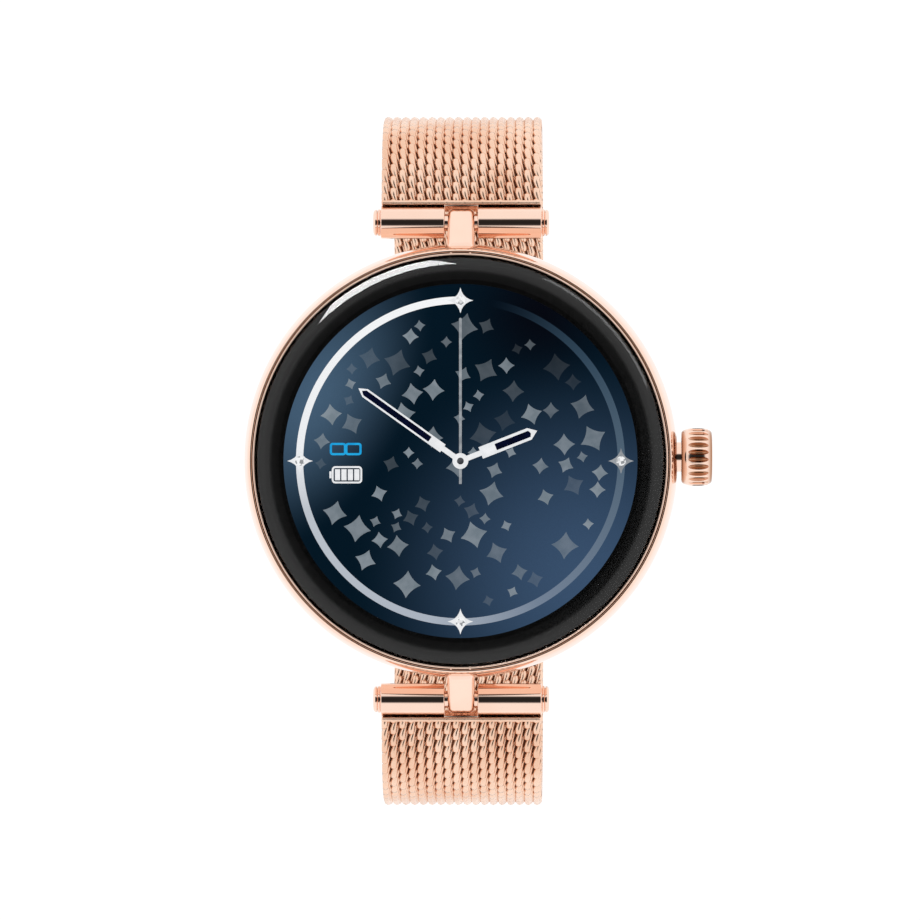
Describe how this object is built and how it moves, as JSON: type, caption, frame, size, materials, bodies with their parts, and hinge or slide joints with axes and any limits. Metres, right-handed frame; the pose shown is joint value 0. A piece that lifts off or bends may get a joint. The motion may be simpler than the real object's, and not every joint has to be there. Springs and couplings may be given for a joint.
{
  "type": "smartwatch",
  "caption": "Round smartwatch with a fluted crown, a domed glass over an analogue-style screen, and a woven steel mesh strap closed in a loop by a magnetic clasp.",
  "frame": {"origin": "centre of the flat back of the case, on the sensor window", "axes": "+Z out of the dial, +Y towards 12 o'clock, +X towards the crown at 3 o'clock"},
  "size_m": [0.041, 0.062, 0.0528],
  "materials": {
    "polished_rose_gold": "mirror-polished rose gold plating on steel",
    "mesh_rose_gold": "rose gold plated steel wire, woven and flattened",
    "clear_glass": "clear, polished, domed edge",
    "screen": "lit screen, dark blue ground",
    "black_print": "black ink printed under the glass",
    "black_rubber": "smooth",
    "black_plastic": "fine moulded grain",
    "circuit_green": "solder mask",
    "bare_steel": "bare, satin",
    "battery_foil": "laminated foil",
    "flex_film": "amber polyimide film",
    "gold_contact": "gold plated",
    "led_lens": "clear epoxy",
    "magnet": "nickel plated",
    "dark_window": "smoked, polished",
    "switch_button": "moulded"
  },
  "bodies": {
    "case": {"case_body": "polished_rose_gold", "bezel_ring": "polished_rose_gold", "cover_glass": "clear_glass", "glass_gasket": "black_rubber", "border_film": "black_print", "display_panel": "screen", "inner_frame": "black_plastic", "main_board": "circuit_green", "shield_can": "bare_steel", "radio_module": "bare_steel", "display_flex": "flex_film", "battery": "battery_foil", "sensor_board": "circuit_green", "sensor_leds": "led_lens", "photodiode": "led_lens", "sensor_window": "dark_window", "sensor_flex": "flex_film", "back_cover": "black_plastic", "back_gasket": "black_rubber", "back_screws": "bare_steel", "charge_contacts": "gold_contact", "charge_magnets": "magnet", "motor_can": "bare_steel", "crown_tube": "polished_rose_gold", "switch_body": "black_plastic"},
    "motor_rotor": {"motor_shaft": "bare_steel", "motor_weight": "bare_steel"},
    "crown_slide": {"crown_clip": "bare_steel"},
    "crown_turning": {"crown_stem": "polished_rose_gold", "crown_knob": "polished_rose_gold", "crown_o_ring": "black_rubber"},
    "plunger": {"switch_plunger": "switch_button"},
    "upper_end": {"upper_bar_pin": "bare_steel", "upper_bar_screws": "polished_rose_gold", "upper_end_sleeves": "polished_rose_gold", "upper_mesh_0": "mesh_rose_gold"},
    "upper_strap_1": {"upper_mesh_1": "mesh_rose_gold"},
    "upper_strap_2": {"upper_mesh_2": "mesh_rose_gold"},
    "upper_strap_3": {"upper_mesh_3": "mesh_rose_gold"},
    "upper_strap_4": {"upper_mesh_4": "mesh_rose_gold"},
    "upper_strap_5": {"upper_mesh_5": "mesh_rose_gold"},
    "upper_strap_6": {"upper_mesh_6": "mesh_rose_gold", "keeper_block": "polished_rose_gold", "keeper_magnet": "magnet"},
    "lower_end": {"lower_bar_pin": "bare_steel", "lower_bar_screws": "polished_rose_gold", "lower_end_sleeves": "polished_rose_gold", "lower_mesh_0": "mesh_rose_gold"},
    "lower_strap_1": {"lower_mesh_1": "mesh_rose_gold"},
    "lower_strap_2": {"lower_mesh_2": "mesh_rose_gold"},
    "lower_strap_3": {"lower_mesh_3": "mesh_rose_gold"},
    "lower_strap_4": {"lower_mesh_4": "mesh_rose_gold"},
    "lower_strap_5": {"lower_mesh_5": "mesh_rose_gold"},
    "lower_strap_6": {"lower_mesh_6": "mesh_rose_gold"},
    "slider": {"slider_body": "polished_rose_gold", "slider_magnet": "magnet", "lever_pin": "bare_steel"},
    "lever": {"lock_lever": "polished_rose_gold"}
  },
  "joints": [
    {"name": "motor_spin", "type": "hinge", "parent": "case", "child": "motor_rotor", "pos_m": [0, -0.0116, 0.0033], "axis": [1, 0, 0], "continuous": true},
    {"name": "crown_press", "type": "slide", "parent": "case", "child": "crown_slide", "axis": [-1, 0, 0], "range_m": [0, 0.00035], "stiffness_N_per_m": 4500},
    {"name": "crown_turn", "type": "hinge", "parent": "crown_slide", "child": "crown_turning", "pos_m": [0.02, 0.00035, 0.005], "axis": [1, 0, 0], "continuous": true},
    {"name": "plunger_press", "type": "slide", "parent": "case", "child": "plunger", "axis": [-1, 0, 0], "range_m": [0, 0.00035]},
    {"name": "upper_bar_turn", "type": "hinge", "parent": "case", "child": "upper_end", "pos_m": [0, 0.0209, 0.004], "axis": [1, 0, 0], "range_deg": [0, 35]},
    {"name": "upper_flex_1", "type": "hinge", "parent": "upper_end", "child": "upper_strap_1", "pos_m": [0, 0.02609, 0.00242], "axis": [1, 0, 0], "range_deg": [0, 33]},
    {"name": "upper_flex_2", "type": "hinge", "parent": "upper_strap_1", "child": "upper_strap_2", "pos_m": [0, 0.02869, -0.00036], "axis": [1, 0, 0], "range_deg": [0, 33]},
    {"name": "upper_flex_3", "type": "hinge", "parent": "upper_strap_2", "child": "upper_strap_3", "pos_m": [0, 0.03014, -0.01522], "axis": [1, 0, 0], "range_deg": [0, 25]},
    {"name": "upper_flex_4", "type": "hinge", "parent": "upper_strap_3", "child": "upper_strap_4", "pos_m": [0, 0.02688, -0.03143], "axis": [1, 0, 0], "range_deg": [0, 25]},
    {"name": "upper_flex_5", "type": "hinge", "parent": "upper_strap_4", "child": "upper_strap_5", "pos_m": [0, 0.02237, -0.0368], "axis": [1, 0, 0], "range_deg": [0, 25]},
    {"name": "upper_flex_6", "type": "hinge", "parent": "upper_strap_5", "child": "upper_strap_6", "pos_m": [0, 0.01601, -0.03976], "axis": [1, 0, 0], "range_deg": [0, 25]},
    {"name": "lower_bar_turn", "type": "hinge", "parent": "case", "child": "lower_end", "pos_m": [0, -0.0209, 0.004], "axis": [-1, 0, 0], "range_deg": [0, 35]},
    {"name": "lower_flex_1", "type": "hinge", "parent": "lower_end", "child": "lower_strap_1", "pos_m": [0, -0.02609, 0.00242], "axis": [-1, 0, 0], "range_deg": [0, 33]},
    {"name": "lower_flex_2", "type": "hinge", "parent": "lower_strap_1", "child": "lower_strap_2", "pos_m": [0, -0.02869, -0.00036], "axis": [-1, 0, 0], "range_deg": [0, 33]},
    {"name": "lower_flex_3", "type": "hinge", "parent": "lower_strap_2", "child": "lower_strap_3", "pos_m": [0, -0.03014, -0.01522], "axis": [-1, 0, 0], "range_deg": [0, 25]},
    {"name": "lower_flex_4", "type": "hinge", "parent": "lower_strap_3", "child": "lower_strap_4", "pos_m": [0, -0.02688, -0.03143], "axis": [-1, 0, 0], "range_deg": [0, 25]},
    {"name": "lower_flex_5", "type": "hinge", "parent": "lower_strap_4", "child": "lower_strap_5", "pos_m": [0, -0.02237, -0.0368], "axis": [-1, 0, 0], "range_deg": [0, 25]},
    {"name": "lower_flex_6", "type": "hinge", "parent": "lower_strap_5", "child": "lower_strap_6", "pos_m": [0, -0.01601, -0.03976], "axis": [-1, 0, 0], "range_deg": [0, 25]},
    {"name": "clasp_slide", "type": "slide", "parent": "lower_strap_6", "child": "slider", "axis": [0, -1, 0], "range_m": [0, 0.0043]},
    {"name": "lever_open", "type": "hinge", "parent": "slider", "child": "lever", "pos_m": [0, -0.00605, -0.04175], "axis": [-1, 0, 0], "range_deg": [0, 75]}
  ],
  "couplings": [
    {"joint": "plunger_press", "follows": "crown_press", "ratio": 1}
  ]
}
